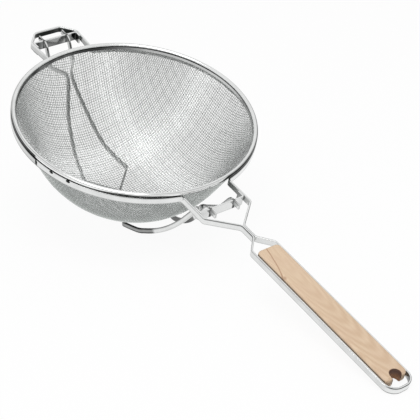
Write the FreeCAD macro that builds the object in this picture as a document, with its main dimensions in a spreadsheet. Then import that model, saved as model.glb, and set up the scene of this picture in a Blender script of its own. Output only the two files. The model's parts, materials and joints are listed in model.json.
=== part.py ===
import FreeCAD, Part
import math
import os

# Long-handled reinforced strainer: two wire-cloth bowls held by a beaded rim, which flat strips on edge
# carry. The design frame is in millimetres. The rim's bead lies on the plane z = 0 round the origin, and +X
# runs along the handle. Every sub-part shares one last placement, which stands the strainer on its straps and
# its tail.

SIZES = {
    "rim_radius": 130.0,
    "bead_width": 5.0,
    "lip_thickness": 0.8,
    "lip_depth": 5.0,
    "bowl_depth": 111.3,
    "wall_lean": 27.1,
    "outer_cloth": 0.6,
    "inner_cloth": 0.5,
    "cloth_gap": 0.3,
    "cloth_border": 12.0,
    "coarse_openings": 8,
    "coarse_bar": 7.5,
    "fine_openings": 12,
    "fine_bar": 4.5,
    "weave_turn": 45.0,
    "clearance": 0.3,
    "weld_gap": 0.1,
    "strip_thickness": 2.0,
    "strip_height": 7.0,
    "band_joint_angle": 83.7,
    "handle_arm_span": 58.0,
    "handle_arm_length": 33.0,
    "hook_arm_span_at_rim": 55.0,
    "hook_arm_span": 59.4,
    "hook_arm_length": 32.4,
    "hook_front_depth": 15.2,
    "hook_front_length": 32.4,
    "bend_radius": 4.0,
    "hook_corner_radius": 7.0,
    "shoulder_length": 25.5,
    "neck_length": 18.5,
    "neck_bend_radius": 6.0,
    "flare_length": 14.5,
    "tail_corner_radius": 9.0,
    "crossbar_thickness": 2.0,
    "crossbar_height": 10.5,
    "crossbar_bend_radius": 2.0,
    "tab_length": 8.5,
    "handle_crossbar_inset": 9.0,
    "hook_crossbar_inset": 1.5,
    "strap_thickness": 2.2,
    "strap_width": 5.5,
    "strap_spacing": 29.2,
    "strap_bend_radius": 4.0,
    "tongue_length": 8.5,
    "elbow_inset": 4.2,
    "elbow_radius": 5.0,
    "drop_inset": 16.9,
    "drop_depth": 22.0,
    "drop_radius": 6.0,
    "pinch_depth": 26.0,
    "pinch_radius": 6.0,
    "strap_wall_slope": 62.0,
    "hook_wall_gap": 9.0,
    "handle_wall_gap": 6.0,
    "heel_bulge": 0.6,
    "heel_run": 3.0,
    "heel_radius": 12.0,
    "strap_bottom_radius": 207.0,
    "grip_inset": 18.5,
    "pinch_spread": 2.4,
    "pinch_bend_radius": 9.0,
    "knuckle_setback": 21.5,
    "knuckle_spread": 23.9,
    "knuckle_radius": 60.0,
    "foot_reach": 38.0,
    "foot_spread": 56.0,
    "seam_half_length": 11.0,
    "wood_width": 26.8,
    "wood_rise": 3.3,
    "wood_drop": 1.7,
    "wood_length": 188.0,
    "wood_setback": 5.0,
    "tail_gap": 8.5,
    "wood_edge_radius": 3.5,
    "wood_corner_radius": 5.0,
    "hang_notch_radius": 5.8,
    "hang_notch_setback": 3.0,
}

doc = FreeCAD.newDocument("strainer")
sheet = doc.addObject("Spreadsheet::Sheet", "Sizes")
for row, (alias, value) in enumerate(SIZES.items(), start=1):
    sheet.set("A%d" % row, alias)
    sheet.set("B%d" % row, str(value))
    sheet.setAlias("B%d" % row, alias)
doc.recompute()


def size(alias):
    """The value of a named cell of the sheet."""
    return float(sheet.get(alias))


# Plane geometry: points and directions are (u, v) pairs, and a path is a list of corners with bend radii.


def intersection(p, u, q, v):
    """The point where the line through p along u meets the line through q along v."""
    cross = u[0] * v[1] - u[1] * v[0]
    step = ((q[0] - p[0]) * v[1] - (q[1] - p[1]) * v[0]) / cross
    return (p[0] + step * u[0], p[1] + step * u[1])


def heading(p, q):
    """The unit direction from p to q."""
    length = math.dist(p, q)
    return ((q[0] - p[0]) / length, (q[1] - p[1]) / length)


def crossing(p, u, centre, radius, side):
    """Where the line through p along u leaves (1) or enters (-1) a circle."""
    along = (centre[0] - p[0]) * u[0] + (centre[1] - p[1]) * u[1]
    reach = along + side * math.sqrt(radius**2 - math.dist(p, centre) ** 2 + along**2)
    return (p[0] + reach * u[0], p[1] + reach * u[1])


def beside(p, u, distance):
    """The point a distance to the left of p, looking along u."""
    return (p[0] - distance * u[1], p[1] + distance * u[0])


def turn(u, v):
    """The angle from direction u to direction v, positive to the left."""
    return math.atan2(u[0] * v[1] - u[1] * v[0], u[0] * v[0] + u[1] * v[1])


def on_circle(centre, radius, angle):
    """The point of a circle at an angle from the first axis."""
    return (centre[0] + radius * math.cos(angle), centre[1] + radius * math.sin(angle))


def tangent_contact(centre, radius, point, side):
    """Where the tangent from an outside point touches a circle, on its left (1) or right (-1) side."""
    towards = math.atan2(point[1] - centre[1], point[0] - centre[0])
    opening = math.acos(radius / math.dist(centre, point))
    return on_circle(centre, radius, towards + side * opening)


def shifted(points, distance):
    """The path's corners moved sideways by a distance to its left."""
    headings = [heading(p, q) for p, q in zip(points, points[1:])]
    before = [headings[0]] + headings
    after = headings + [headings[-1]]
    moved = []
    for point, u, v in zip(points, before, after):
        corner = beside(point, u, distance)
        straight = abs(turn(u, v)) < 1e-9
        moved.append(corner if straight else intersection(corner, u, beside(point, v, distance), v))
    return moved


def rounded(points, radii):
    """The edges of a path: straight runs joined by tangent arcs, one for each inner corner."""
    edges = []
    start = points[0]
    for before, corner, after, radius in zip(points, points[1:], points[2:], radii):
        u = heading(before, corner)
        v = heading(corner, after)
        angle = turn(u, v)
        tangent = radius * math.tan(abs(angle) / 2)
        first = (corner[0] - tangent * u[0], corner[1] - tangent * u[1])
        last = (corner[0] + tangent * v[0], corner[1] + tangent * v[1])
        inward = heading(corner, ((first[0] + last[0]) / 2, (first[1] + last[1]) / 2))
        depth = radius / math.cos(angle / 2) - radius
        middle = (corner[0] + depth * inward[0], corner[1] + depth * inward[1])
        edges += line(start, first)
        edges.append(Part.Arc(vector(first), vector(middle), vector(last)))
        start = last
    return edges + line(start, points[-1])


def vector(p):
    """A plane point as a vector in a sketch."""
    return FreeCAD.Vector(p[0], p[1], 0)


def line(p, q):
    """A straight edge in a list, which is empty where two arcs meet."""
    return [Part.LineSegment(vector(p), vector(q))] if math.dist(p, q) > 1e-6 else []


def strip_outline(points, radii, thickness):
    """The closed outline of a strip of one thickness, bent along a path."""
    half = thickness / 2
    turns = [turn(heading(p, q), heading(q, r)) for p, q, r in zip(points, points[1:], points[2:])]
    left = shifted(points, half)
    right = shifted(points, -half)
    left_radii = [radius - math.copysign(half, angle) for radius, angle in zip(radii, turns)]
    right_radii = [radius + math.copysign(half, angle) for radius, angle in zip(radii, turns)]
    far_end = line(left[-1], right[-1])
    near_end = line(right[0], left[0])
    return rounded(left, left_radii) + far_end + rounded(right[::-1], right_radii[::-1]) + near_end


def mirrored(points):
    """The same path on the other side of the first axis, run the other way."""
    return [(x, -y) for x, y in points[::-1]]


# Levels and places that several sub-parts share.
bead_radius = size("bead_width") / 2
bead_centre = size("rim_radius") - bead_radius
half_strip = size("strip_thickness") / 2
band_radius = size("rim_radius") - half_strip
strip_top = -bead_radius - size("clearance")
strip_bottom = strip_top - size("strip_height")
cloth_top_radius = size("rim_radius") - size("strip_thickness") - size("clearance")
neck_offset = half_strip + size("weld_gap") / 2
grip_offset = size("wood_width") / 2 + size("clearance") + half_strip
handle_arm_reach = size("rim_radius") + size("handle_arm_length")
hook_arm_reach = size("rim_radius") + size("hook_arm_length")
hook_front_reach = hook_arm_reach + size("hook_front_depth")
neck_start = handle_arm_reach + size("shoulder_length")
neck_end = neck_start + size("neck_length")
flare_reach = neck_end + size("flare_length")
wood_start = flare_reach + size("wood_setback")
wood_end = wood_start + size("wood_length")
tail_line = wood_end + size("tail_gap") + half_strip
tail_reach = tail_line + half_strip
handle_arm = size("handle_arm_span") / 2
hook_arm = size("hook_arm_span") / 2
handle_crossbar_reach = handle_arm_reach - size("handle_crossbar_inset")
hook_crossbar_reach = hook_arm_reach - size("hook_crossbar_inset")
strap_line = size("strap_spacing") / 2
tongue_level = strip_top - size("strap_width") / 2
foot_level = -size("bowl_depth") - size("clearance") - size("strap_width") / 2


def new_body(name):
    """An empty PartDesign body."""
    body = doc.addObject("PartDesign::Body", name)
    body.Label = name
    return body


def plane_of(body, role):
    """One of the origin planes of a body."""
    return next(feature for feature in body.Origin.OriginFeatures if feature.Role == role)


def new_sketch(body, name, role, edges, level=None):
    """A sketch of edges on an origin plane of a body, raised to a level along the plane's normal."""
    sketch = body.newObject("Sketcher::SketchObject", name)
    sketch.AttachmentSupport = (plane_of(body, role), [""])
    sketch.MapMode = "FlatFace"
    sketch.addGeometry(edges, False)
    if level is not None:
        sketch.AttachmentOffset = FreeCAD.Placement(FreeCAD.Vector(0, 0, level), FreeCAD.Rotation())
    return sketch


def revolve(body, edges):
    """A full turn of a profile in the XZ plane about the Z axis."""
    profile = new_sketch(body, body.Name + "_profile", "XZ_Plane", edges)
    revolution = body.newObject("PartDesign::Revolution", body.Name + "_revolution")
    revolution.Profile = profile
    revolution.ReferenceAxis = (profile, ["V_Axis"])
    revolution.Angle = 360.0
    return revolution


def pad_up(body, edges, level, height):
    """A pad of an outline in the XY plane, from a level upwards by an expression of the sheet."""
    outline = new_sketch(body, body.Name + "_outline", "XY_Plane", edges, level)
    pad = body.newObject("PartDesign::Pad", body.Name + "_pad")
    pad.Profile = outline
    pad.setExpression("Length", height)
    return pad


def fillet_rims(body, radius):
    """Fillets round the whole top and bottom outline of a body's last feature."""
    doc.recompute()
    base = body.Tip
    box = base.Shape.BoundBox
    names = []
    for number, edge in enumerate(base.Shape.Edges, start=1):
        flat = edge.BoundBox.ZLength < 1e-6
        if flat and (abs(edge.BoundBox.ZMin - box.ZMin) < 1e-6 or abs(edge.BoundBox.ZMax - box.ZMax) < 1e-6):
            names.append("Edge%d" % number)
    fillet = body.newObject("PartDesign::Fillet", body.Name + "_fillet")
    fillet.Base = (base, names)
    fillet.setExpression("Radius", radius)
    doc.recompute()


# The bowl's meridian: a wall that leans out to just under the bead, and the sphere tangent to it that has the
# bowl's depth.
lean = math.radians(size("wall_lean"))
cloth_rise = (math.sin(lean), math.cos(lean))
cloth_top = (cloth_top_radius, strip_top)
wall_distance = cloth_top[0] * cloth_rise[1] - cloth_top[1] * cloth_rise[0]
bowl_centre = (0.0, (wall_distance - size("bowl_depth")) / (1 - cloth_rise[0]))
bowl_radius = bowl_centre[1] + size("bowl_depth")
cloth_contact = on_circle(bowl_centre, bowl_radius, -lean)
inner_depth = size("outer_cloth") + size("cloth_gap")
lip_depth_in = inner_depth + size("inner_cloth") + size("clearance")
level_heading = (1.0, 0.0)


def cone_line(depth, level):
    """The point at a level of the cone that lies a depth inside the bowl's outer face."""
    return intersection(beside(cloth_contact, cloth_rise, depth), cloth_rise, (0.0, level), level_heading)


def meridian(depth):
    """The arc and the straight rise of the bowl surface that lies a depth inside the outer face."""
    bottom_angle = -math.pi / 2
    angles = (bottom_angle, (bottom_angle - lean) / 2, -lean)
    bottom, middle, contact = [on_circle(bowl_centre, bowl_radius - depth, angle) for angle in angles]
    arc = Part.Arc(vector(bottom), vector(middle), vector(contact))
    return bottom, [arc] + line(contact, cone_line(depth, strip_top)), cone_line(depth, strip_top)


bend_run = bowl_radius * (math.pi / 2 - lean)
open_run = bend_run + math.dist(cloth_contact, cloth_top) - size("cloth_border")


def pressed(across, along):
    """The plan place on the bowl of a point of flat cloth.

    It keeps its direction and distance from the middle, and a point beyond the border is drawn in to it.
    """
    run = min(math.hypot(across, along), open_run)
    reach = bowl_radius * math.sin(min(run, bend_run) / bowl_radius)
    reach += max(run - bend_run, 0.0) * cloth_rise[0]
    return on_circle((0.0, 0.0), reach, math.atan2(along, across) + math.radians(size("weave_turn")))


def opening_outlines(count, bar):
    """The plan outlines of a square grid of openings, a count of them across the bowl, with bars between.

    Those whose middle would lie past the border are left out.
    """
    pitch = 2 * open_run / count
    half_opening = (pitch - bar) / 2
    middles = [(number + 0.5) * pitch - open_run for number in range(count)]
    outlines = []
    for across in middles:
        for along in middles:
            if math.hypot(across, along) > open_run:
                continue
            left, right = across - half_opening, across + half_opening
            near, far = along - half_opening, along + half_opening
            corners = [pressed(left, near), pressed(right, near), pressed(right, far), pressed(left, far)]
            for p, q in zip(corners, corners[1:] + corners[:1]):
                outlines += line(p, q)
    return outlines


def cloth(name, depth, thickness, openings, bar):
    """One bowl of wire cloth, as a skin with a plain grid of openings that holds its wires' metal."""
    body = new_body(name)
    outer_bottom, outer_face, outer_top = meridian(depth)
    inner_bottom, inner_face, inner_top = meridian(depth + thickness)
    edges = outer_face + line(outer_top, inner_top) + inner_face + line(inner_bottom, outer_bottom)
    revolve(body, edges)
    pocket = body.newObject("PartDesign::Pocket", name + "_openings")
    pocket.Profile = new_sketch(body, name + "_opening_outlines", "XY_Plane", opening_outlines(openings, bar))
    pocket.Type = "ThroughAll"
    return body


def rim_ring():
    """The rim: a round bead over the cloth's edge, with a lip that leans down inside the bowl."""
    body = new_body("rim_ring")
    centre = (bead_centre, 0.0)
    lip_faces = [lip_depth_in, lip_depth_in + size("lip_thickness")]
    outer_end, inner_end = [cone_line(depth, -size("lip_depth")) for depth in lip_faces]
    outer_root = crossing(outer_end, cloth_rise, centre, bead_radius, -1)
    inner_root = crossing(inner_end, cloth_rise, centre, bead_radius, -1)
    crown = (centre[0] + bead_radius * cloth_rise[0], centre[1] + bead_radius * cloth_rise[1])
    bead = Part.Arc(vector(outer_root), vector(crown), vector(inner_root))
    lip = line(inner_root, inner_end) + line(inner_end, outer_end) + line(outer_end, outer_root)
    revolve(body, [bead] + lip)
    return body


# The strips' plans are drawn on the -Y side and mirrored. Each runs along the rim and bends out into an arm.


def rim_run(joint_angle, corner, along):
    """The path from a joint of the band to where an arm leaves the rim, along a line to a corner."""
    origin = (0.0, 0.0)
    bend = size("bend_radius")
    bend_centre = crossing(beside(corner, along, -bend), along, origin, band_radius + bend, 1)
    start_angle = -joint_angle + size("clearance") / 2 / band_radius
    leave_angle = turn(level_heading, heading(origin, bend_centre))
    start = on_circle(origin, band_radius, start_angle)
    leave = on_circle(origin, band_radius, leave_angle)
    start_heading = on_circle(origin, 1.0, start_angle + math.pi / 2)
    leave_heading = on_circle(origin, 1.0, leave_angle + math.pi / 2)
    middle_corner = intersection(start, start_heading, leave, leave_heading)
    return [start, middle_corner, intersection(leave, leave_heading, corner, along)]


def strip(name, half_path, half_radii):
    """A flat strip on edge, bent along a path and its mirror image."""
    body = new_body(name)
    path = half_path + mirrored(half_path)
    radii = half_radii + half_radii[::-1]
    pad_up(body, strip_outline(path, radii, size("strip_thickness")), strip_bottom, "Sizes.strip_height")
    return body


def handle_strip():
    """One strip: half the band, the arms, the neck, the grip's sides and the tail loop."""
    corner = (handle_arm_reach, -handle_arm)
    grip = [(neck_start, -neck_offset), (neck_end, -neck_offset)]
    grip += [(flare_reach, -grip_offset), (tail_line, -grip_offset)]
    path = rim_run(math.radians(size("band_joint_angle")), corner, level_heading) + [corner] + grip
    radii = [band_radius, size("bend_radius"), size("bend_radius")] + [size("neck_bend_radius")] * 3
    return strip("handle_strip", path, radii + [size("tail_corner_radius")])


def backward(points):
    """A path turned end for end along the first axis."""
    return [(-x, y) for x, y in points]


hook_corner = (hook_arm_reach, -hook_arm)
hook_heading = heading((size("rim_radius"), -size("hook_arm_span_at_rim") / 2), hook_corner)


def hook_strip():
    """The rest of the band, its arms and the blunt front that hangs on a pan's edge."""
    front = (hook_front_reach, -size("hook_front_length") / 2)
    joint_angle = math.pi - math.radians(size("band_joint_angle"))
    path = rim_run(joint_angle, hook_corner, hook_heading) + [hook_corner, front]
    radii = [band_radius, size("bend_radius")] + [size("hook_corner_radius")] * 2
    return strip("hook_strip", backward(path), radii)


def crossbar(name, side, reach, arm_point, arm_heading):
    """A plate on edge between two arms, with tabs that lie along them and a notch for each strap's tongue."""
    body = new_body(name)
    seat = beside(arm_point, arm_heading, half_strip + size("weld_gap") + size("crossbar_thickness") / 2)
    tab_end = intersection(seat, arm_heading, (reach - size("tab_length"), 0.0), (0.0, 1.0))
    corner = intersection(seat, arm_heading, (reach, 0.0), (0.0, 1.0))
    path = [(side * x, y) for x, y in [tab_end, corner]]
    radii = [size("crossbar_bend_radius")] * 2
    outline = strip_outline(path + mirrored(path), radii, size("crossbar_thickness"))
    pad_up(body, outline, strip_top - size("crossbar_height"), "Sizes.crossbar_height")
    notches = []
    across = size("crossbar_thickness")
    half_notch = size("strap_thickness") / 2 + size("clearance")
    for y in (-strap_line, strap_line):
        low = (side * reach - across, y - half_notch)
        high = (side * reach + across, y + half_notch)
        corners = [low, (high[0], low[1]), high, (low[0], high[1]), low]
        for p, q in zip(corners, corners[1:]):
            notches += line(p, q)
    pocket = body.newObject("PartDesign::Pocket", name + "_notches")
    pocket.Profile = new_sketch(body, name + "_notch_outline", "XY_Plane", notches, strip_top)
    pocket.setExpression("Length", "Sizes.strap_width + Sizes.clearance")
    return body


# The straps: strips on edge that are bent both in their side view and in plan, so each is the solid that its
# side profile and its plan have in common.
foot_centre = (0.0, foot_level + size("strap_bottom_radius"))


def side_half(bar_reach, wall_gap):
    """One end of a strap's side view, as corners and their radii.

    From the tongue it drops inside the crossbar, runs in to the pinch, goes down to follow the bowl at a gap,
    and turns at the heel into the shallow foot.
    """
    tongue_end = (bar_reach + size("crossbar_thickness") / 2 + size("tongue_length"), tongue_level)
    elbow = (bar_reach - size("elbow_inset"), tongue_level)
    drop = (bar_reach - size("drop_inset"), tongue_level - size("drop_depth"))
    wall_radius = bowl_radius + wall_gap + size("strap_width") / 2
    wall_slope = math.radians(size("strap_wall_slope"))
    wall_heading = on_circle((0.0, 0.0), 1.0, wall_slope)
    wall_top = on_circle(bowl_centre, wall_radius, wall_slope - math.pi / 2)
    pinch = intersection(wall_top, wall_heading, (0.0, tongue_level - size("pinch_depth")), level_heading)
    foot_reach = math.hypot(size("strap_bottom_radius"), size("heel_run"))
    heel = axis_circles_meet(foot_centre, foot_reach, wall_radius + size("heel_bulge"))
    wall_bottom = tangent_contact(bowl_centre, wall_radius, heel, 1)
    knee = intersection(wall_top, wall_heading, heel, heading(heel, wall_bottom))
    radii = [size("elbow_radius"), size("drop_radius"), size("pinch_radius")]
    return [tongue_end, elbow, drop, pinch, knee, heel], radii + [wall_radius, size("heel_radius")]


def axis_circles_meet(centre, radius, bowl_reach):
    """Where a circle centred on the second axis meets the circle of a reach round the bowl's centre."""
    apart = bowl_centre[1] - centre[1]
    level = (radius**2 - bowl_reach**2 - centre[1] ** 2 + bowl_centre[1] ** 2) / (2 * apart)
    return (math.sqrt(bowl_reach**2 - (level - bowl_centre[1]) ** 2), level)


def foot_line(heel):
    """The heading from a heel to where the foot's arc begins."""
    return heading(heel, tangent_contact(foot_centre, size("strap_bottom_radius"), heel, -1))


def plan_half(bar_reach, pinch_reach):
    """One end of a strap's plan: it pinches in, spreads to the foot and turns in to the seam."""
    return [
        (bar_reach + size("crossbar_thickness") / 2 + size("tongue_length"), strap_line),
        (bar_reach - size("grip_inset"), strap_line),
        (pinch_reach, size("pinch_spread") / 2),
        (pinch_reach - size("knuckle_setback"), size("knuckle_spread") / 2),
        (size("foot_reach"), size("foot_spread") / 2),
        (size("seam_half_length"), (size("strap_thickness") + size("weld_gap")) / 2),
    ]


def support_strap(name, side):
    """One strap, from its tongue in the hook's crossbar, under the bowl, to its tongue in the handle's."""
    hook_side, hook_radii = side_half(hook_crossbar_reach, size("hook_wall_gap"))
    handle_side, handle_radii = side_half(handle_crossbar_reach, size("handle_wall_gap"))
    hook_heel = backward(hook_side)[-1]
    hook_line = backward([foot_line(hook_side[-1])])[0]
    apex = intersection(hook_heel, hook_line, handle_side[-1], foot_line(handle_side[-1]))
    side_path = backward(hook_side) + [apex] + handle_side[::-1]
    side_radii = hook_radii + [size("strap_bottom_radius")] + handle_radii[::-1]
    plan_path = backward(plan_half(hook_crossbar_reach, hook_side[3][0]))
    plan_path += plan_half(handle_crossbar_reach, handle_side[3][0])[::-1]
    bend = size("strap_bend_radius")
    plan_radii = [bend, size("pinch_bend_radius"), size("knuckle_radius"), bend, bend]
    plan_radii += plan_radii[::-1]
    plan_path = [(x, side * y) for x, y in plan_path]
    profiles = []
    for view, path, radii, width, turned, depth in (
        ("side", side_path, side_radii, size("strap_width"), 90.0, "2 * Sizes.rim_radius"),
        ("plan", plan_path, plan_radii, size("strap_thickness"), 0.0, "4 * Sizes.bowl_depth"),
    ):
        sketch = doc.addObject("Sketcher::SketchObject", name + "_" + view + "_outline")
        rotation = FreeCAD.Rotation(FreeCAD.Vector(1, 0, 0), turned)
        sketch.Placement = FreeCAD.Placement(FreeCAD.Vector(), rotation)
        sketch.addGeometry(strip_outline(path, radii, width), False)
        profile = doc.addObject("Part::Extrusion", name + "_" + view)
        profile.Base = sketch
        profile.DirMode = "Normal"
        profile.Solid = True
        profile.Symmetric = True
        profile.setExpression("LengthFwd", depth)
        profiles.append(profile)
    strap = doc.addObject("Part::MultiCommon", name)
    strap.Label = name
    strap.Shapes = profiles
    return strap


def wood_handle():
    """The grip: a bar between the strip's runs, with eased edges and a bite out of its end to hang it by."""
    body = new_body("wood_handle")
    half_width = size("wood_width") / 2
    middle = (wood_start + wood_end) / 2
    corners = [(wood_start, -half_width), (wood_end, -half_width)]
    corners += mirrored(corners)
    loop = [(middle, -half_width)] + corners[1:] + corners[:1] + [(middle, -half_width)]
    outline = rounded(loop, [size("wood_corner_radius")] * 4)
    height = "Sizes.wood_drop + Sizes.strip_height + Sizes.wood_rise"
    pad_up(body, outline, strip_bottom - size("wood_drop"), height)
    fillet_rims(body, "Sizes.wood_edge_radius")
    notch = (wood_end - size("hang_notch_setback"), 0.0)
    circle = Part.Circle(vector(notch), FreeCAD.Vector(0, 0, 1), size("hang_notch_radius"))
    pocket = body.newObject("PartDesign::Pocket", "wood_handle_notch")
    wood_top = strip_top + size("wood_rise")
    pocket.Profile = new_sketch(body, "wood_handle_notch_outline", "XY_Plane", [circle], wood_top)
    pocket.Type = "ThroughAll"
    return body


sub_parts = [
    rim_ring(),
    cloth("outer_mesh", 0.0, size("outer_cloth"), round(size("coarse_openings")), size("coarse_bar")),
    cloth("inner_mesh", inner_depth, size("inner_cloth"), round(size("fine_openings")), size("fine_bar")),
    handle_strip(),
    hook_strip(),
    crossbar("handle_crossbar", 1, handle_crossbar_reach, (0.0, -handle_arm), level_heading),
    crossbar("hook_crossbar", -1, hook_crossbar_reach, hook_corner, hook_heading),
    support_strap("support_strap_left", 1),
    support_strap("support_strap_right", -1),
    wood_handle(),
]
doc.recompute()

# The pose at rest: the straps' bottoms and the lower edge of the tail loop, or of the grip where that is
# lower, stand on one level surface. The origin lies on it, under the middle of the strainer's length.


def rest_line(heel):
    """Where the straps' bottoms stand when a heel at the tail stands too, and the slope between them."""
    stand = tangent_contact(foot_centre, size("strap_bottom_radius") + size("strap_width") / 2, heel, -1)
    return turn(level_heading, heading(stand, heel)), stand


grip_heel = (wood_end, strip_bottom - size("wood_drop"))
rest_tilt, stand = min(rest_line((tail_reach, strip_bottom)), rest_line(grip_heel))
rest_turn = FreeCAD.Rotation(FreeCAD.Vector(0, 1, 0), math.degrees(rest_tilt))
ends = [(tail_reach, strip_top), (-hook_front_reach - half_strip, strip_bottom)]
turned_ends = [rest_turn.multVec(FreeCAD.Vector(x, 0, z)) for x, z in ends]
turned_stand = rest_turn.multVec(FreeCAD.Vector(stand[0], 0, stand[1]))
rest_base = FreeCAD.Vector(-(turned_ends[0].x + turned_ends[1].x) / 2, 0, -turned_stand.z)
for sub_part in sub_parts:
    sub_part.Placement = FreeCAD.Placement(rest_base, rest_turn)
doc.recompute()

for item in doc.Objects:
    if "Invalid" in item.State or "Error" in item.State:
        raise RuntimeError("%s did not compute" % item.Name)
os.makedirs("parts", exist_ok=True)
for sub_part in sub_parts:
    shape = sub_part.Shape
    if shape.isNull() or not shape.isValid() or len(shape.Solids) != 1:
        raise RuntimeError("%s is not one valid solid" % sub_part.Label)
    shape.exportStep("parts/%s.step" % sub_part.Label)
    print("%-20s %10.1f mm3" % (sub_part.Label, shape.Volume))
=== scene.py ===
"""A long-handled double-mesh strainer, standing on its straps and the tail of its handle.

Lengths are in metres. Shapes are worked out in the rim's own frame, where the bead lies on z = 0
round the origin and +x runs along the handle. place() then turns them and moves them to where the
strainer stands.
"""

import json
import math

import bpy
import numpy as np
from mathutils import Matrix, Vector


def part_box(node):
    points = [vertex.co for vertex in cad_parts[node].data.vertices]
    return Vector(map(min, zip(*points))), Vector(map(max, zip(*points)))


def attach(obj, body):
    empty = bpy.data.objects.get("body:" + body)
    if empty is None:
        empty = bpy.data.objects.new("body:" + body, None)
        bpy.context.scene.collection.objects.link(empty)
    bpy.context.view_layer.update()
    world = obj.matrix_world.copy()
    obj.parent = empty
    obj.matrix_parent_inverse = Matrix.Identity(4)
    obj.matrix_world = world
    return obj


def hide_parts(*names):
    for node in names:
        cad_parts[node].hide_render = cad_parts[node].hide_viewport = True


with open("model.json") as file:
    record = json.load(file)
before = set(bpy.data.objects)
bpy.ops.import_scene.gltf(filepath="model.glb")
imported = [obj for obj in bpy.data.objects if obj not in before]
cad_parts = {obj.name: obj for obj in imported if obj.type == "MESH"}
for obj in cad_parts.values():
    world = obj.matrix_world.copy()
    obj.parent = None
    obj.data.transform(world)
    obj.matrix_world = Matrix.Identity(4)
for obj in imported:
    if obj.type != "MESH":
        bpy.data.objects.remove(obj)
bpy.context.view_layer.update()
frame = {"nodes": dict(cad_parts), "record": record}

MM = 0.001
ring_low, ring_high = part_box("rim_ring")
RIM_RADIUS = (ring_high.y - ring_low.y) / 2
BEAD_RADIUS = 2.5 * MM
loop_mount = next(mount for mount in frame["record"]["mounts"] if mount["name"] == "hanging_loop")
TILT = math.atan2(loop_mount["axis"][0], loop_mount["axis"][2])
RING_DROP = (RIM_RADIUS - BEAD_RADIUS) * math.sin(TILT) + BEAD_RADIUS
RIM_CENTRE = np.array([(ring_low.x + ring_high.x) / 2, 0.0, ring_high.z - RING_DROP])

# The rim and the flat strips that carry it.
CLEARANCE = 0.3 * MM
WELD_GAP = 0.1 * MM
STRIP_THICKNESS = 2.0 * MM
STRIP_HEIGHT = 7.0 * MM
STRIP_EDGE = 0.35 * MM
STRIP_TOP = -BEAD_RADIUS - CLEARANCE
STRIP_MIDDLE = STRIP_TOP - STRIP_HEIGHT / 2
BAND_RADIUS = RIM_RADIUS - STRIP_THICKNESS / 2
JOINT_DEGREES = 83.7
BAND_JOINT = math.radians(JOINT_DEGREES)
ARM_BEND = 4.0 * MM
HANDLE_CORNER = RIM_RADIUS + 33.0 * MM - 29.0j * MM
HOOK_CORNER = RIM_RADIUS + 32.4 * MM - 29.7j * MM
HOOK_FRONT = RIM_RADIUS + 47.6 * MM - 16.2j * MM
HOOK_ARM_AT_RIM = RIM_RADIUS - 27.5j * MM
HOOK_CORNER_BEND = 7.0 * MM
NECK_START = HANDLE_CORNER.real + 25.5 * MM
NECK_END = NECK_START + 18.5 * MM
NECK_BEND = 6.0 * MM
NECK_OFFSET = (STRIP_THICKNESS + WELD_GAP) / 2
FLARE_REACH = NECK_END + 14.5 * MM
WOOD_WIDTH = 26.8 * MM
GRIP_OFFSET = WOOD_WIDTH / 2 + CLEARANCE + STRIP_THICKNESS / 2
WOOD_START = FLARE_REACH + 5.0 * MM
WOOD_END = WOOD_START + 188.0 * MM
TAIL_LINE = WOOD_END + 8.5 * MM + STRIP_THICKNESS / 2
TAIL_BEND = 12.0 * MM

# The crossbars between the arms.
BAR_THICKNESS = 2.0 * MM
BAR_HEIGHT = 10.5 * MM
BAR_EDGE = 0.25 * MM
BAR_BEND = 2.0 * MM
TAB_LENGTH = 8.5 * MM
HANDLE_BAR = HANDLE_CORNER.real - 9.0 * MM
HOOK_BAR = HOOK_CORNER.real - 1.5 * MM

# The straps under the bowl.
STRAP_THICKNESS = 2.2 * MM
STRAP_WIDTH = 5.5 * MM
STRAP_EDGE = 0.4 * MM
STRAP_INSET = 1.5 * MM
STRAP_LINE = 14.6 * MM
TONGUE_LENGTH = 8.5 * MM
TONGUE_LEVEL = STRIP_TOP - STRAP_WIDTH / 2

# The two bowls of wire cloth, which end a little above the bead's middle plane.
CLOTH_END = 1.0 * MM
BOWL_DEPTH = 111.3 * MM
LEAN = math.radians(27.1)
RISE = np.array([math.sin(LEAN), math.cos(LEAN)])
CLOTH_TOP = np.array([RIM_RADIUS - STRIP_THICKNESS - CLEARANCE, STRIP_TOP])
WALL_DISTANCE = CLOTH_TOP[0] * RISE[1] - CLOTH_TOP[1] * RISE[0]
BOWL_CENTRE = (WALL_DISTANCE - BOWL_DEPTH) / (1 - RISE[0])
BOWL_RADIUS = BOWL_CENTRE + BOWL_DEPTH


def place(points):
    """Points of the rim's frame, turned about y by the tilt and moved to the rim's centre."""
    c, s = math.cos(TILT), math.sin(TILT)
    x, y, z = points[..., 0], points[..., 1], points[..., 2]
    return np.stack([x * c + z * s, y, z * c - x * s], axis=-1) + RIM_CENTRE


def turn_only(vectors):
    """Directions of the rim's frame, turned about y by the tilt."""
    return place(vectors) - RIM_CENTRE


# ---------------------------------------------------------------- node helpers


def new_material(name):
    """An empty node material."""
    material = bpy.data.materials.new(name)
    material.use_nodes = True
    material.node_tree.nodes.clear()
    return material, material.node_tree


def new_group(name, inputs, outputs):
    """An empty shader node group with its named inputs and outputs, and its two end nodes."""
    group = bpy.data.node_groups.new(name, "ShaderNodeTree")
    for label, kind, value in inputs:
        socket = group.interface.new_socket(label, in_out="INPUT", socket_type="NodeSocket" + kind)
        socket.default_value = value
    for label, kind in outputs:
        group.interface.new_socket(label, in_out="OUTPUT", socket_type="NodeSocket" + kind)
    return group, group.nodes.new("NodeGroupInput"), group.nodes.new("NodeGroupOutput")


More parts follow.
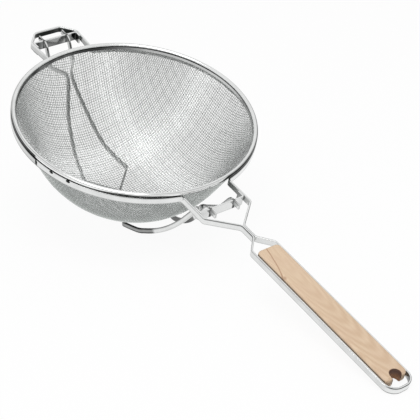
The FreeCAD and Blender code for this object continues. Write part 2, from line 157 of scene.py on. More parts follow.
def add_node(tree, kind, inputs, **settings):
    """A shader node with its settings, whose inputs are values or other nodes' outputs to link."""
    node = tree.nodes.new("ShaderNode" + kind)
    for name, value in settings.items():
        setattr(node, name, value)
    for name, value in inputs.items():
        if isinstance(value, bpy.types.NodeSocket):
            tree.links.new(value, node.inputs[name])
        else:
            node.inputs[name].default_value = value
    return node


def noise(tree, coordinates, scale, detail):
    """A noise texture on given coordinates."""
    inputs = {"Scale": scale, "Detail": detail, "Vector": coordinates}
    return add_node(tree, "TexNoise", inputs).outputs["Fac"]


def ramp(tree, value, low, high, start=0.0, end=1.0):
    """A value mapped smoothly from between low and high to between start and end."""
    inputs = {"From Min": low, "From Max": high, "To Min": start, "To Max": end, "Value": value}
    return add_node(tree, "MapRange", inputs, interpolation_type="SMOOTHSTEP").outputs[0]


def combine(tree, operation, first, second=0.0):
    """Two values, or a value and a number, put through a math operation."""
    return add_node(tree, "Math", {0: first, 1: second}, operation=operation).outputs[0]


def blend(tree, share, first, second):
    """Two colours mixed by a share."""
    inputs = {"Factor": share, "A": first, "B": second}
    return add_node(tree, "Mix", inputs, data_type="RGBA").outputs["Result"]


def mix_shaders(tree, share, first, second):
    """A node that mixes the shaders of two nodes by a share."""
    return add_node(tree, "MixShader", {0: share, 1: first.outputs[0], 2: second.outputs[0]})


def ray_kind(tree, *outputs):
    """1 for the rays of the named kinds and 0 for the others."""
    path = tree.nodes.new("ShaderNodeLightPath")
    kind = path.outputs[outputs[0]]
    for name in outputs[1:]:
        kind = combine(tree, "MAXIMUM", kind, path.outputs[name])
    return kind


# ---------------------------------------------------------------- camera, floor and light

WHITE = (1, 1, 1, 1)
SENSOR_WIDTH = 36.0
FOCAL_LENGTH = 116.39
FAR_CLIP = 20.0
CAMERA_SPOT = RIM_RADIUS * np.array([6.844, -5.490, 6.635])
CAMERA_AIM = RIM_RADIUS * np.array([1.2156, -0.1432, 0.0])
CAMERA_ROLL = math.radians(-0.894)
FLOOR_HALF = 6.0
FLOOR_PAINT = (0.93, 0.93, 0.93, 1)
FLOOR_GLOW = 0.92
SOFT_LIGHT = 0.65
REFLECTED_GREY = (0.8, 0.8, 0.8, 1)
HORIZON_LOW, HORIZON_HIGH = math.sin(math.radians(1)), math.sin(math.radians(12))
HORIZON_LIGHT = 0.25
LAMP_OFFSET = (0.6, -0.5, 1.6)
LAMP_SIZE = 1.2
LAMP_POWER = 14.0


def add_camera():
    """A long lens above the handle's right side, aimed past the rim towards the handle."""
    camera = bpy.data.objects.new("camera", bpy.data.cameras.new("camera"))
    bpy.context.scene.collection.objects.link(camera)
    bpy.context.scene.camera = camera
    camera.data.sensor_width = SENSOR_WIDTH
    camera.data.lens = FOCAL_LENGTH
    camera.data.clip_end = FAR_CLIP
    spot, aim = Vector(place(CAMERA_SPOT)), Vector(place(CAMERA_AIM))
    turn = (aim - spot).to_track_quat("-Z", "Y").to_matrix().to_4x4()
    roll = Matrix.Rotation(CAMERA_ROLL, 4, "Z")
    camera.matrix_world = Matrix.Translation(spot) @ turn @ roll


def add_floor():
    """A wide pale floor that looks white to the camera and still takes the strainer's shadow."""
    mesh = bpy.data.meshes.new("floor")
    signs = ((-1, -1), (1, -1), (1, 1), (-1, 1))
    corners = [(x * FLOOR_HALF, y * FLOOR_HALF, 0.0) for x, y in signs]
    mesh.from_pydata(corners, [], [(0, 1, 2, 3)])
    floor = bpy.data.objects.new("floor", mesh)
    bpy.context.scene.collection.objects.link(floor)
    material, tree = new_material("floor_paint")
    paint = add_node(tree, "BsdfDiffuse", {"Color": FLOOR_PAINT})
    glow = add_node(tree, "Emission", {"Color": WHITE})
    seen = ray_kind(tree, "Is Camera Ray", "Is Glossy Ray", "Is Transmission Ray")
    mix = mix_shaders(tree, combine(tree, "MULTIPLY", seen, FLOOR_GLOW), paint, glow)
    add_node(tree, "OutputMaterial", {"Surface": mix.outputs[0]})
    mesh.materials.append(material)


def add_world():
    """A soft white light, white to the camera.

    In reflections it is pale grey with a dim far wall along the horizon.
    """
    world = bpy.data.worlds.new("studio")
    bpy.context.scene.world = world
    world.use_nodes = True
    tree = world.node_tree
    tree.nodes.clear()
    direction = tree.nodes.new("ShaderNodeTexCoord").outputs["Generated"]
    up = add_node(tree, "SeparateXYZ", {0: direction}).outputs["Z"]
    height = ramp(tree, up, HORIZON_LOW, HORIZON_HIGH, start=HORIZON_LIGHT)
    reflected = add_node(tree, "Background", {"Color": REFLECTED_GREY, "Strength": height})
    soft = add_node(tree, "Background", {"Color": WHITE, "Strength": SOFT_LIGHT})
    white = add_node(tree, "Background", {"Color": WHITE, "Strength": 1.0})
    in_metal = ray_kind(tree, "Is Glossy Ray", "Is Transmission Ray")
    light = mix_shaders(tree, in_metal, soft, reflected)
    light = mix_shaders(tree, ray_kind(tree, "Is Camera Ray"), light, white)
    add_node(tree, "OutputWorld", {"Surface": light.outputs[0]})


def add_lamp():
    """A square soft box above the strainer, turned to the rim's centre."""
    lamp = bpy.data.objects.new("key", bpy.data.lights.new("key", "AREA"))
    bpy.context.scene.collection.objects.link(lamp)
    lamp.data.shape = "SQUARE"
    lamp.data.size = LAMP_SIZE
    lamp.data.energy = LAMP_POWER
    aim = Vector(RIM_CENTRE)
    spot = aim + Vector(LAMP_OFFSET)
    lamp.location = spot
    lamp.rotation_euler = (aim - spot).to_track_quat("-Z", "Y").to_euler()


# ---------------------------------------------------------------- mesh making

NARROW_INSET = 0.12 * MM
BROAD_INSET = 1.1 * MM
CORNER_STEPS = 3
PART_NAMES = (
    "left_top", "top", "right_top", "right", "right_bottom", "bottom", "left_bottom", "left"
)
# Painted shade and painted reflection on faces that get no tone of their own, and on end caps.
PLAIN_TONE = 0.2
CAP_TONE = 0.35


def unit(vectors):
    """Vectors divided by their lengths."""
    return vectors / np.linalg.norm(vectors, axis=-1, keepdims=True)


def add_piece(name, solid, material, slot, *stands_for):
    """A smooth mesh of a solid, which rides on the one body.

    A solid is its points, their normals or None, their tones, and a list of face arrays with one
    row a face. The normals are set corner by corner from their points. A tone says how dark the
    metal is drawn at a point, from 0, bright, to 1, black; mostly it is painted shade and painted
    reflection.
    """
    points, normals, tones, faces = solid
    corners = np.concatenate([rows.ravel() for rows in faces])
    sizes = np.concatenate([np.full(len(rows), rows.shape[1]) for rows in faces])
    starts = np.concatenate([[0], np.cumsum(sizes)[:-1]])
    mesh = bpy.data.meshes.new(name)
    mesh.vertices.add(len(points))
    mesh.vertices.foreach_set("co", place(points).ravel())
    mesh.loops.add(len(corners))
    mesh.loops.foreach_set("vertex_index", corners.astype(np.int32))
    mesh.polygons.add(len(sizes))
    mesh.polygons.foreach_set("loop_start", starts.astype(np.int32))
    mesh.update(calc_edges=True)
    mesh.validate()
    mesh.shade_smooth()
    if normals is not None:
        mesh.normals_split_custom_set(turn_only(normals)[corners])
    tone = mesh.attributes.new("tone", "FLOAT", "POINT")
    tone.data.foreach_set("value", tones.astype(np.float32))
    mesh.materials.append(material)
    piece = bpy.data.objects.new(name, mesh)
    bpy.context.scene.collection.objects.link(piece)
    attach(piece, "root")
    if stands_for:
        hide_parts(*stands_for)


def join(*solids):
    """Several solids as one."""
    points, normals, tones, faces = [], [], [], []
    count = 0
    for solid_points, solid_normals, solid_tones, solid_faces in solids:
        points.append(solid_points)
        normals.append(solid_normals)
        tones.append(solid_tones)
        faces += [rows + count for rows in solid_faces]
        count += len(solid_points)
    return np.concatenate(points), np.concatenate(normals), np.concatenate(tones), faces


def rounded_section(half_width, half_height, edge, inset=BROAD_INSET):
    """A rectangle with corners of radius edge: corner centre + edge * (cos a, sin a).

    It runs anticlockwise. Two more points lie on each flat, an inset from its ends on the broad
    ones. The last result numbers the section's parts: 0 is the left top corner, 1 the top, 2 the
    right top corner, and so on round to 7, the left face.
    """
    turn = np.linspace(0, math.pi / 2, CORNER_STEPS + 1)
    quarters = np.arange(4)[:, None] * math.pi / 2 + turn
    normals = np.stack([np.cos(quarters), np.sin(quarters)], axis=-1)
    signs = np.array([(1, 1), (-1, 1), (-1, -1), (1, -1)])[:, None]
    arcs = signs * np.array([half_width - edge, half_height - edge]) + edge * normals
    flat_normals = normals[:, -1:]
    onward = flat_normals[..., ::-1] * np.array([-1, 1])
    next_starts = np.roll(arcs[:, :1], -1, axis=0)
    insets = np.array([NARROW_INSET, inset] * 2)[:, None, None]
    flats = [arcs[:, -1:] + insets * onward, next_starts - insets * onward]
    outline = np.concatenate([arcs] + flats, axis=1)
    outline_normals = np.concatenate([normals, np.repeat(flat_normals, 2, axis=1)], axis=1)
    parts = 2 * np.arange(4)[:, None] + np.array([0] * (CORNER_STEPS + 1) + [1, 1])
    return outline.reshape(-1, 2), outline_normals.reshape(-1, 2), parts.ravel()


def part_tones(rings, **tones):
    """The eight parts' tones ring by ring, each given as one number or one for each ring."""
    columns = [np.broadcast_to(tones.get(name, PLAIN_TONE), rings) for name in PART_NAMES]
    return np.stack(columns, axis=-1)


def ring_faces(rings, around):
    """Four-sided faces from each closed ring of points to the next.

    Point p of ring r is number r * around + p. A face takes p and p + 1 of its ring, then p + 1
    and p of the next.
    """
    ring, spot = np.meshgrid(np.arange(rings - 1), np.arange(around), indexing="ij")
    here, ahead, following = ring * around, (ring + 1) * around, (spot + 1) % around
    quads = [here + spot, here + following, ahead + following, ahead + spot]
    return np.stack(quads, axis=-1).reshape(-1, 4)


def carry(section, path, side, up, tones):
    """A section carried along a path: path + u * side + v * up, with a flat cap at each end."""
    outline, outline_normals, parts = section
    rings, around = len(path), len(outline)
    points = path[:, None] + outline[:, :1] * side[:, None] + outline[:, 1:] * up[:, None]
    normals = outline_normals[:, :1] * side[:, None] + outline_normals[:, 1:] * up[:, None]
    along = np.cross(side, up)
    first_cap = rings * around + np.arange(around)[None, ::-1]
    last_cap = (rings + 1) * around + np.arange(around)[None]
    cap_normals = [np.tile(-along[0], (around, 1)), np.tile(along[-1], (around, 1))]
    points = np.concatenate([points.reshape(-1, 3), points[0], points[-1]])
    normals = np.concatenate([normals.reshape(-1, 3)] + cap_normals)
    point_tones = np.concatenate([tones[:, parts].ravel(), np.full(2 * around, CAP_TONE)])
    return points, unit(normals), point_tones, [ring_faces(rings, around), first_cap, last_cap]


def revolve(section, steps, tones):
    """A closed section of (radius, height) points turned about z: (r cos a, r sin a, h).

    The tones are one number for each point of the section, or for each step and point.
    """
    outline, outline_normals = section
    around = len(outline)
    angle = np.linspace(0, 2 * math.pi, steps, endpoint=False)[:, None]

    def turned(pairs):
        radius, height = pairs[:, 0], pairs[:, 1] + 0 * angle
        turns = [radius * np.cos(angle), radius * np.sin(angle), height]
        return np.stack(turns, axis=-1).reshape(-1, 3)

    # The last ring meets the first, and the faces look the other way from those of a path.
    quads = ring_faces(steps + 1, around)[:, [0, 3, 2, 1]] % (steps * around)
    point_tones = np.broadcast_to(tones, (steps, around)).ravel()
    return turned(outline), turned(outline_normals), point_tones, [quads]


# ---------------------------------------------------------------- bent strips
# Plan places are complex numbers x + iy, so 1j * heading points to the left of a heading.

ARC_TURN = math.radians(6)
ARC_RUN = 2 * MM
SAME_PLACE = 0.01 * MM


def heading(p, q):
    """The unit heading from p to q."""
    return (q - p) / abs(q - p)


def meeting(p, u, q, v):
    """Where the line through p along u meets the line through q along v."""
    return p + u * ((q - p) * v.conjugate()).imag / (u * v.conjugate()).imag


def bent_path(corners, radii):
    """Straight runs joined by tangent arcs, as points and unit headings.

    An arc is centre + arm * exp(ia), where the arm from the centre to the arc's start turns
    through the corner's angle in even steps.
    """
    points, headings = [], []
    for before, corner, after, radius in zip(corners, corners[1:], corners[2:], radii):
        u, v = heading(before, corner), heading(corner, after)
        angle = float(np.angle(v / u))
        arm = -1j * u * radius * np.sign(angle)
        centre = corner - u * radius * math.tan(abs(angle) / 2) - arm
        steps = math.ceil(max(abs(angle) / ARC_TURN, radius * abs(angle) / ARC_RUN, 1))
        turned = np.exp(1j * np.linspace(0, angle, steps + 1))
        points.append(centre + arm * turned)
        headings.append(u * turned)
    first_run, last_run = heading(*corners[:2]), heading(*corners[-2:])
    points = np.concatenate([[corners[0]]] + points + [[corners[-1]]])
    headings = np.concatenate([[first_run]] + headings + [[last_run]])
    kept = np.abs(np.diff(points, prepend=points[0] - 1)) > SAME_PLACE
    return points[kept], headings[kept]


def on_edge(corners, radii, thickness, height, middle_level, tones, edge=STRIP_EDGE):
    """A strip on edge that follows a plan path at one level.

    Its tones are worked out from the path's points.
    """
    points, headings = bent_path(corners, radii)
    path = np.stack([points.real, points.imag, np.full(len(points), middle_level)], axis=-1)
    left = 1j * headings
    side = np.stack([left.real, left.imag, np.zeros(len(left))], axis=-1)
    up = np.tile([0.0, 0.0, 1.0], (len(points), 1))
    section = rounded_section(thickness / 2, height / 2, edge)
    return carry(section, path, side, up, part_tones(len(points), **tones(points)))


def there_and_back(half_path, half_radii):
    """A path of corners and its mirror image about the x axis, run on as one."""
    return half_path + [p.conjugate() for p in half_path[::-1]], half_radii + half_radii[::-1]


def backward(path):
    """A path mirrored from the handle's side to the hook's."""
    return [-p.conjugate() for p in path]


def rim_run(joint_angle, corner, along):
    """The band from its joint to where an arm leaves the rim along a line to a corner."""
    line = corner - 1j * ARM_BEND * along
    reach = -(line * along.conjugate()).real
    foot = abs(line + reach * along)
    bend_centre = line + (reach + math.sqrt((BAND_RADIUS + ARM_BEND) ** 2 - foot**2)) * along
    start_angle = -joint_angle + CLEARANCE / 2 / BAND_RADIUS
    leave_angle = float(np.angle(bend_centre))
    start = BAND_RADIUS * np.exp(1j * start_angle)
    apex_radius = BAND_RADIUS / math.cos((leave_angle - start_angle) / 2)
    apex = apex_radius * np.exp(0.5j * (start_angle + leave_angle))
    leave = BAND_RADIUS * np.exp(1j * leave_angle)
    return [start, apex, meeting(leave, 1j * leave / BAND_RADIUS, corner, along)]


# ---------------------------------------------------------------- tones of the strips, painted shade and painted reflection

# The darkest tones: the line over the band's joint and the painted shade in the notches.
LINE_TONE = 0.95
NOTCH_SHADE_TONE = 0.93
JOINT_SHADE = 1.2

# Degrees round the rim, and how far up the bead's section the painted shade of the groove over
# the band reaches there. It is a hair line past the right side's welds and widest round the left
# side.
GROOVE_STOPS = (
    (-150, 30), (-110, 46), (-84.5, 28), (-83, -40), (-62, -40), (-50, -10), (-42, 14),
    (-22, 14), (-14, -12), (5, -12), (12, 54), (110, 54), (150, 30),
)


def between(x, start, end):
    """0 up to the start, 1 from the end on and a straight ramp between them."""
    return np.clip((x - start) / (end - start), 0, 1)


def groove_reach(degrees):
    """How far up the bead the groove's painted shade reaches: straight runs between the groove's
    stops.
    """
    return np.interp(degrees, *zip(*GROOVE_STOPS))


def degrees_round(points):
    """The angle of plan points round the rim, in degrees from the handle."""
    return np.degrees(np.angle(points))


def on_the_band(points):
    """1 on the band and 0 on the arms, with a short ramp where they leave it."""
    return 1 - between(np.abs(points), BAND_RADIUS + 1 * MM, BAND_RADIUS + 4 * MM)


def handle_strip_tones(points):
    """Tones of the handle's strip, whose right side is the outside.

    These darks are painted shade and painted reflection: the band has a dark upper edge, the arms
    darken inside towards the rim, the grip's runs have a dark line along the wood, and the loop at
    the tail is dark inside.
    """
    x, turn, band = points.real, degrees_round(points), on_the_band(points)
    on_leg = between(x, HANDLE_CORNER.real - 3 * MM, HANDLE_CORNER.real + 1 * MM)
    far_leg = on_leg * (1 - between(x, NECK_START, NECK_START + 2 * MM)) * (points.imag > 0)
    on_grip = between(x, NECK_END, WOOD_START + 10 * MM)
    on_loop = between(x, WOOD_END - 2 * MM, WOOD_END + 4 * MM)
    arm = 1 - between(x, RIM_RADIUS, HANDLE_CORNER.real - 4 * MM)
    low_line = band * between(np.abs(turn), 64, 74)
    high_line = band * between(groove_reach(turn), -20, 20)
    at_joint = between(np.abs(turn), JOINT_DEGREES - JOINT_SHADE, JOINT_DEGREES)
    outside = 0.15 + 0.09 * on_grip - 0.12 * on_loop + 0.75 * far_leg
    upper_edge = 0.65 * np.maximum(0.5 * high_line, on_leg)
    return {
        "top": 0.0,
        "right": np.maximum(outside, LINE_TONE * at_joint),
        "left": 0.22 + 0.5 * arm + 0.65 * on_loop + 0.3 * far_leg,
        "right_top": 0.25 + upper_edge - 0.8 * on_grip + 0.8 * on_loop,
        "left_top": 0.2 + 0.2 * on_grip + 0.5 * on_loop,
        "right_bottom": 0.45 + 0.5 * np.maximum(low_line, on_loop),
        "left_bottom": 0.45,
        "bottom": 0.4,
    }


def hook_strip_tones(points):
    """Tones of the hook's strip, whose left side is the outside.

    As painted shade and painted reflection, the band has a dark upper edge and the front is nearly
    black inside.
    """
    turn, band = degrees_round(points), on_the_band(points)
    at_front = between(-points.real, HOOK_BAR - 6 * MM, HOOK_BAR + 2 * MM)
    at_joint = 1 - between(np.abs(turn), JOINT_DEGREES, JOINT_DEGREES + JOINT_SHADE)
    return {
        "top": 0.0,
        "left": np.maximum(0.42 - 0.1 * band, LINE_TONE * at_joint),
        "right": 0.55 + 0.41 * at_front,
        "left_top": 0.08 + 0.85 * band,
        "right_top": 0.3 - 0.2 * at_front,
        "left_bottom": 0.85,
        "right_bottom": 0.9,
        "bottom": 0.5,
    }


def handle_bar_tones(points):
    """Painted shade and painted reflection: pale faces with soft dark edges, darker on the tabs'
    bends.
    """
    tab = between(np.abs(points.imag), 22 * MM, 26 * MM)
    return {
        "top": 0.02,
        "right": 0.2 + 0.15 * tab,
        "left": 0.3,
        "left_top": 0.5,
        "right_top": 0.15,
        "right_bottom": 0.4,
    }


def hook_bar_tones(points):
    """Painted shade and painted reflection: grey faces, darker towards the arms, under a bright
    top.
    """
    end = between(np.abs(points.imag), 12 * MM, 27 * MM)
    return {
        "top": 0.0,
        "right": 0.58 + 0.35 * end,
        "left": 0.6,
        "left_top": 0.1,
        "right_top": 0.15,
        "right_bottom": 0.8,
    }


def notch_shade_tones(points):
    """Black all over: painted shade in the notches where the straps are welded in."""
    return {name: NOTCH_SHADE_TONE for name in PART_NAMES}


def strap_tones(x, side):
    """Painted shade and painted reflection on a strap: black where it holds the bowl and bright on
    the handle's side.

    It is bright from a short way up, higher on the left strap, and its tongues are painted duller.
    """
    bright_from = (92.0 + 14.0 * side) * MM
    bright = between(x, bright_from, bright_from + 2 * MM)
    hooked = between(-x, RIM_RADIUS - 8 * MM, RIM_RADIUS + 4 * MM)
    tongue = between(x, HANDLE_BAR - 8 * MM, HANDLE_BAR - 2 * MM)
    dark = (1 - bright) * (1 - hooked)
    unseen = (1 - between(x, 30 * MM, 42 * MM)) * (1 - hooked)
    face = 0.66 + 0.18 * side
    # Painted shade: black near the notches.
    from_notch = np.minimum(np.abs(x - HANDLE_BAR), np.abs(x + HOOK_BAR))
    notch_shade = NOTCH_SHADE_TONE * (1 - between(from_notch, 1.2 * MM, 2.4 * MM))
    tones = {
        "top": 0.08 + 0.92 * dark + 0.3 * bright * (1 - tongue),
        "right": 0.15 + face * dark + (0.7 - face) * unseen + 0.25 * hooked - 0.1 * tongue,
        "left": 0.3 + 0.2 * dark,
        "right_top": 0.75 + 0.24 * dark - 0.3 * tongue,
        "left_top": 0.6 + 0.39 * dark,
        "right_bottom": 0.3 + 0.69 * dark * (1 - unseen),
        "left_bottom": 0.3 + 0.2 * dark,
        "bottom": 0.3 + 0.69 * dark,
    }
    return {name: np.maximum(tone, notch_shade) for name, tone in tones.items()}


# ---------------------------------------------------------------- strips and crossbars

HOOK_HEADING = heading(HOOK_ARM_AT_RIM, HOOK_CORNER)


def flat_strip(corners, radii, tones):
    """A strip of the rim's own section along a plan path."""
    return on_edge(corners, radii, STRIP_THICKNESS, STRIP_HEIGHT, STRIP_MIDDLE, tones)


def handle_strip():
    """Half the band, the arms, the neck where its runs meet, the grip's sides and the tail loop."""
    grip = [NECK_START - 1j * NECK_OFFSET, NECK_END - 1j * NECK_OFFSET]
    grip += [FLARE_REACH - 1j * GRIP_OFFSET, TAIL_LINE - 1j * GRIP_OFFSET]
    half = rim_run(BAND_JOINT, HANDLE_CORNER, 1 + 0j) + [HANDLE_CORNER] + grip
    radii = [BAND_RADIUS, ARM_BEND, ARM_BEND] + [NECK_BEND] * 3 + [TAIL_BEND]
    return flat_strip(*there_and_back(half, radii), handle_strip_tones)


def hook_strip():
    """The rest of the band with its arms and blunt front."""
    half = rim_run(math.pi - BAND_JOINT, HOOK_CORNER, HOOK_HEADING) + [HOOK_CORNER, HOOK_FRONT]
    radii = [BAND_RADIUS, ARM_BEND] + [HOOK_CORNER_BEND] * 2
    corners, radii = there_and_back(half, radii)
    return flat_strip(backward(corners), radii, hook_strip_tones)


def crossbar(side, reach, arm_point, arm_heading, tones):
    """A plate on edge with tabs along the arms and an open notch for each strap's tongue.

    Its plan path is cut at the notches' sides: the runs between them have the whole height, and
    the notches a low one.
    """
    seat = arm_point + 1j * arm_heading * (STRIP_THICKNESS / 2 + WELD_GAP + BAR_THICKNESS / 2)
    tab_end = meeting(seat, arm_heading, reach - TAB_LENGTH + 0j, 1j)
    corner = meeting(seat, arm_heading, reach + 0j, 1j)
    half_notch = STRAP_THICKNESS / 2 + CLEARANCE
    near, far = STRAP_LINE - half_notch, STRAP_LINE + half_notch
    low_height = BAR_HEIGHT - STRAP_WIDTH - CLEARANCE
    wing = [tab_end, corner, reach - 1j * far]
    runs = [
        (wing, [BAR_BEND], BAR_HEIGHT, tones),
        ([reach - 1j * far, reach - 1j * near], [], low_height, notch_shade_tones),
        ([reach - 1j * near, reach + 1j * near], [], BAR_HEIGHT, tones),
        ([reach + 1j * near, reach + 1j * far], [], low_height, notch_shade_tones),
        ([p.conjugate() for p in wing[::-1]], [BAR_BEND], BAR_HEIGHT, tones),
    ]
    solids = []
    for path, radii, height, run_tones in runs:
        corners = path if side > 0 else backward(path)
        level = STRIP_TOP - BAR_HEIGHT + height / 2
        solids.append(on_edge(corners, radii, BAR_THICKNESS, height, level, run_tones, BAR_EDGE))
    return join(*solids)


# ---------------------------------------------------------------- straps

# Seen from the side, from the tongue through the elbow, the drop and the pinch to the heel.
ELBOW_INSET, ELBOW_BEND = 4.2 * MM, 5.0 * MM
DROP_INSET, DROP_DEPTH, DROP_BEND = 16.9 * MM, 22.0 * MM, 6.0 * MM
PINCH_DEPTH, PINCH_BEND = 26.0 * MM, 6.0 * MM
WALL_SLOPE = math.radians(62.0)
HOOK_WALL_GAP, HANDLE_WALL_GAP = 9.0 * MM, 6.0 * MM
HEEL_BULGE, HEEL_RUN, HEEL_BEND = 0.6 * MM, 3.0 * MM, 30.0 * MM
FOOT_RADIUS = 207.0 * MM
FOOT_CENTRE = 1j * (FOOT_RADIUS - BOWL_DEPTH - CLEARANCE - STRAP_WIDTH / 2)

# Seen from above, from the tongue through the grip, the pinch, the knuckle and the foot's corner
# to the seam. A spread is measured from the middle.
GRIP_INSET = 18.5 * MM
PINCH_SPREAD = 1.2 * MM
KNUCKLE_SETBACK, KNUCKLE_SPREAD = 21.5 * MM, 11.95 * MM
FOOT_REACH, FOOT_SPREAD = 38.0 * MM, 28.0 * MM
SEAM_REACH, SEAM_SPREAD = 11.0 * MM, (STRAP_THICKNESS + WELD_GAP) / 2
PLAN_BENDS = [4.0 * MM, 9.0 * MM, 60.0 * MM, 4.0 * MM, 4.0 * MM]


def touching(centre, radius, point, side):
    """Where the tangent from a point touches a circle, on its left (1) or right (-1) side."""
    arm = point - centre
    return centre + radius * arm / abs(arm) * np.exp(1j * side * math.acos(radius / abs(arm)))


def strap_side_half(bar_reach, wall_gap):
    """One end of a strap's side view as x + iz, as corners and their bend radii.

    They are the tongue, elbow, drop and pinch, the wall round the bowl and the heel.
    """
    centre = 1j * BOWL_CENTRE
    wall_radius = BOWL_RADIUS + wall_gap + STRAP_WIDTH / 2
    wall_heading = np.exp(1j * WALL_SLOPE)
    wall_top = centre - 1j * wall_radius * wall_heading
    tongue = 1j * TONGUE_LEVEL
    pinch = meeting(wall_top, wall_heading, tongue - 1j * PINCH_DEPTH, 1 + 0j)
    foot_arm, wall_arm = math.hypot(FOOT_RADIUS, HEEL_RUN), wall_radius + HEEL_BULGE
    apart = BOWL_CENTRE - FOOT_CENTRE.imag
    level = (foot_arm**2 - wall_arm**2 - FOOT_CENTRE.imag**2 + BOWL_CENTRE**2) / (2 * apart)
    heel = math.sqrt(wall_arm**2 - (level - BOWL_CENTRE) ** 2) + 1j * level
    wall_bottom = touching(centre, wall_radius, heel, 1)
    knee = meeting(wall_top, wall_heading, heel, wall_bottom - heel)
    drop = bar_reach - DROP_INSET + tongue - 1j * DROP_DEPTH
    tongue_end = bar_reach + BAR_THICKNESS / 2 + TONGUE_LENGTH + tongue
    corners = [tongue_end, bar_reach - ELBOW_INSET + tongue, drop, pinch, knee, heel]
    return corners, [ELBOW_BEND, DROP_BEND, PINCH_BEND, wall_radius, HEEL_BEND]


HOOK_HALF, HOOK_RADII = strap_side_half(HOOK_BAR, HOOK_WALL_GAP)
HANDLE_HALF, HANDLE_RADII = strap_side_half(HANDLE_BAR, HANDLE_WALL_GAP)


def strap_side_path():
    """A strap's whole side view from hook to handle, with one shallow arc between the heels."""
    hook_heel, handle_heel = HOOK_HALF[-1], HANDLE_HALF[-1]
    hook_start = touching(FOOT_CENTRE, FOOT_RADIUS, hook_heel, -1)
    handle_start = touching(FOOT_CENTRE, FOOT_RADIUS, handle_heel, -1)
    first, second = backward([hook_heel, hook_start])
    apex = meeting(first, second - first, handle_heel, handle_start - handle_heel)
    corners = backward(HOOK_HALF) + [apex] + HANDLE_HALF[::-1]
    return bent_path(corners, HOOK_RADII + [FOOT_RADIUS] + HANDLE_RADII[::-1])


def strap_plan_half(bar_reach, pinch_reach):
    """One end of a strap's plan: it pinches in, spreads to the foot and turns in to the seam."""
    return [
        bar_reach + BAR_THICKNESS / 2 + TONGUE_LENGTH + 1j * STRAP_LINE,
        bar_reach - GRIP_INSET + 1j * STRAP_LINE,
        pinch_reach + 1j * PINCH_SPREAD,
        pinch_reach - KNUCKLE_SETBACK + 1j * KNUCKLE_SPREAD,
        FOOT_REACH + 1j * FOOT_SPREAD,
        SEAM_REACH + 1j * SEAM_SPREAD,
    ]


def strap_plan_path(side):
    """A strap's plan from hook to handle, the right strap's mirrored from the left one's."""
    plan = backward(strap_plan_half(HOOK_BAR, HOOK_HALF[3].real))
    plan += strap_plan_half(HANDLE_BAR, HANDLE_HALF[3].real)[::-1]
    if side < 0:
        plan = [p.conjugate() for p in plan]
    return bent_path(plan, PLAN_BENDS + PLAN_BENDS[::-1])


def support_strap(side):
    """A strap on edge whose centre line has the plan path's y and the side path's z at each x."""
    plan, plan_heading = strap_plan_path(side)
    view, view_heading = strap_side_path()
    x = np.unique(np.round(np.concatenate([plan.real, view.real]), 6))
    y, z = np.interp(x, plan.real, plan.imag), np.interp(x, view.real, view.imag)
    plan_slope = np.interp(x, plan.real, plan_heading.imag / plan_heading.real)
    view_slope = np.interp(x, view.real, view_heading.imag / view_heading.real)
    along = unit(np.stack([np.ones(len(x)), plan_slope, view_slope], axis=-1))
    up = np.stack([-view_slope, np.zeros(len(x)), np.ones(len(x))], axis=-1)
    across = unit(np.cross(up, along))
    up = np.cross(along, across)
    section = rounded_section(STRAP_THICKNESS / 2, STRAP_WIDTH / 2, STRAP_EDGE, STRAP_INSET)
    tones = part_tones(len(x), **strap_tones(x, side))
    return carry(section, np.stack([x, y, z], axis=-1), across, up, tones)


# ---------------------------------------------------------------- rim

RIM_STEPS = 288
BEAD_STEPS = 48
LIP_HALF_THICKNESS = 0.4 * MM
LIP_HALF_LENGTH = 2.6 * MM
LIP_EDGE = 0.3 * MM
LIP_DEPTH = 2.5 * MM
LIP_RISE = 0.3 * MM

WELD_STEPS = 16
WELD_RINGS = 5
WELD_HEIGHT = 0.5 * MM
WELD_SINK = 0.1 * MM

# Degrees from the handle, half length, half height and level from the band's upper edge.
WELD_SHAPES = (
    (74.0, 2.5 * MM, 1.7 * MM, -1.4 * MM),
    (64.8, 2.5 * MM, 1.7 * MM, -1.4 * MM),
    (JOINT_DEGREES, 1.7 * MM, 3.4 * MM, -3.5 * MM),
)


def rim_bead_and_lip():
    """A round bead and the lip that leans down inside the bowl, both turned about z.

    The bead is painted black underneath as shade, outside down to the band and inside down to the
    lip, and has a thin grey line along its top.
    """
    turn = np.linspace(0, 2 * math.pi, RIM_STEPS, endpoint=False)[:, None]
    turn = np.degrees(turn + math.pi) % 360 - 180
    angle = np.linspace(0, 2 * math.pi, BEAD_STEPS, endpoint=False)
    circle = np.stack([np.cos(angle), np.sin(angle)], axis=-1)
    section = ((RIM_RADIUS - BEAD_RADIUS, 0) + BEAD_RADIUS * circle, circle)
    slant = np.degrees(np.angle(np.exp(1j * angle)))
    reach = groove_reach(turn)
    # Painted shade: black in the groove over the band and inside down to the lip.
    outer_line = (1 - between(slant, reach - 6, reach + 4)) * between(slant, -100, -90)
    inner_line = between(slant % 360, 160, 172) * (1 - between(slant % 360, 262, 272))
    thin_line = 0.5 * (1 - between(np.abs(slant - 62), 4, 9))
    bead_tones = np.clip(0.96 * np.maximum(outer_line, inner_line) + thin_line, 0, 1)
    outline, normals, _ = rounded_section(LIP_HALF_THICKNESS, LIP_HALF_LENGTH, LIP_EDGE)
    inward = np.array([-RISE[1], RISE[0]])
    across = -inward
    middle = CLOTH_TOP + LIP_DEPTH * inward + LIP_RISE * RISE
    leaning = middle + outline[:, :1] * across + outline[:, 1:] * RISE
    leaning_normals = normals[:, :1] * across + normals[:, 1:] * RISE
    # Painted shade on the lip, lighter between about 50 and 140 degrees round.
    lip_tones = 0.85 - 0.6 * between(turn, 20, 50) * (1 - between(turn, 140, 165))
    bead = revolve(section, RIM_STEPS, bead_tones)
    return join(bead, revolve((leaning, leaning_normals), RIM_STEPS, lip_tones))


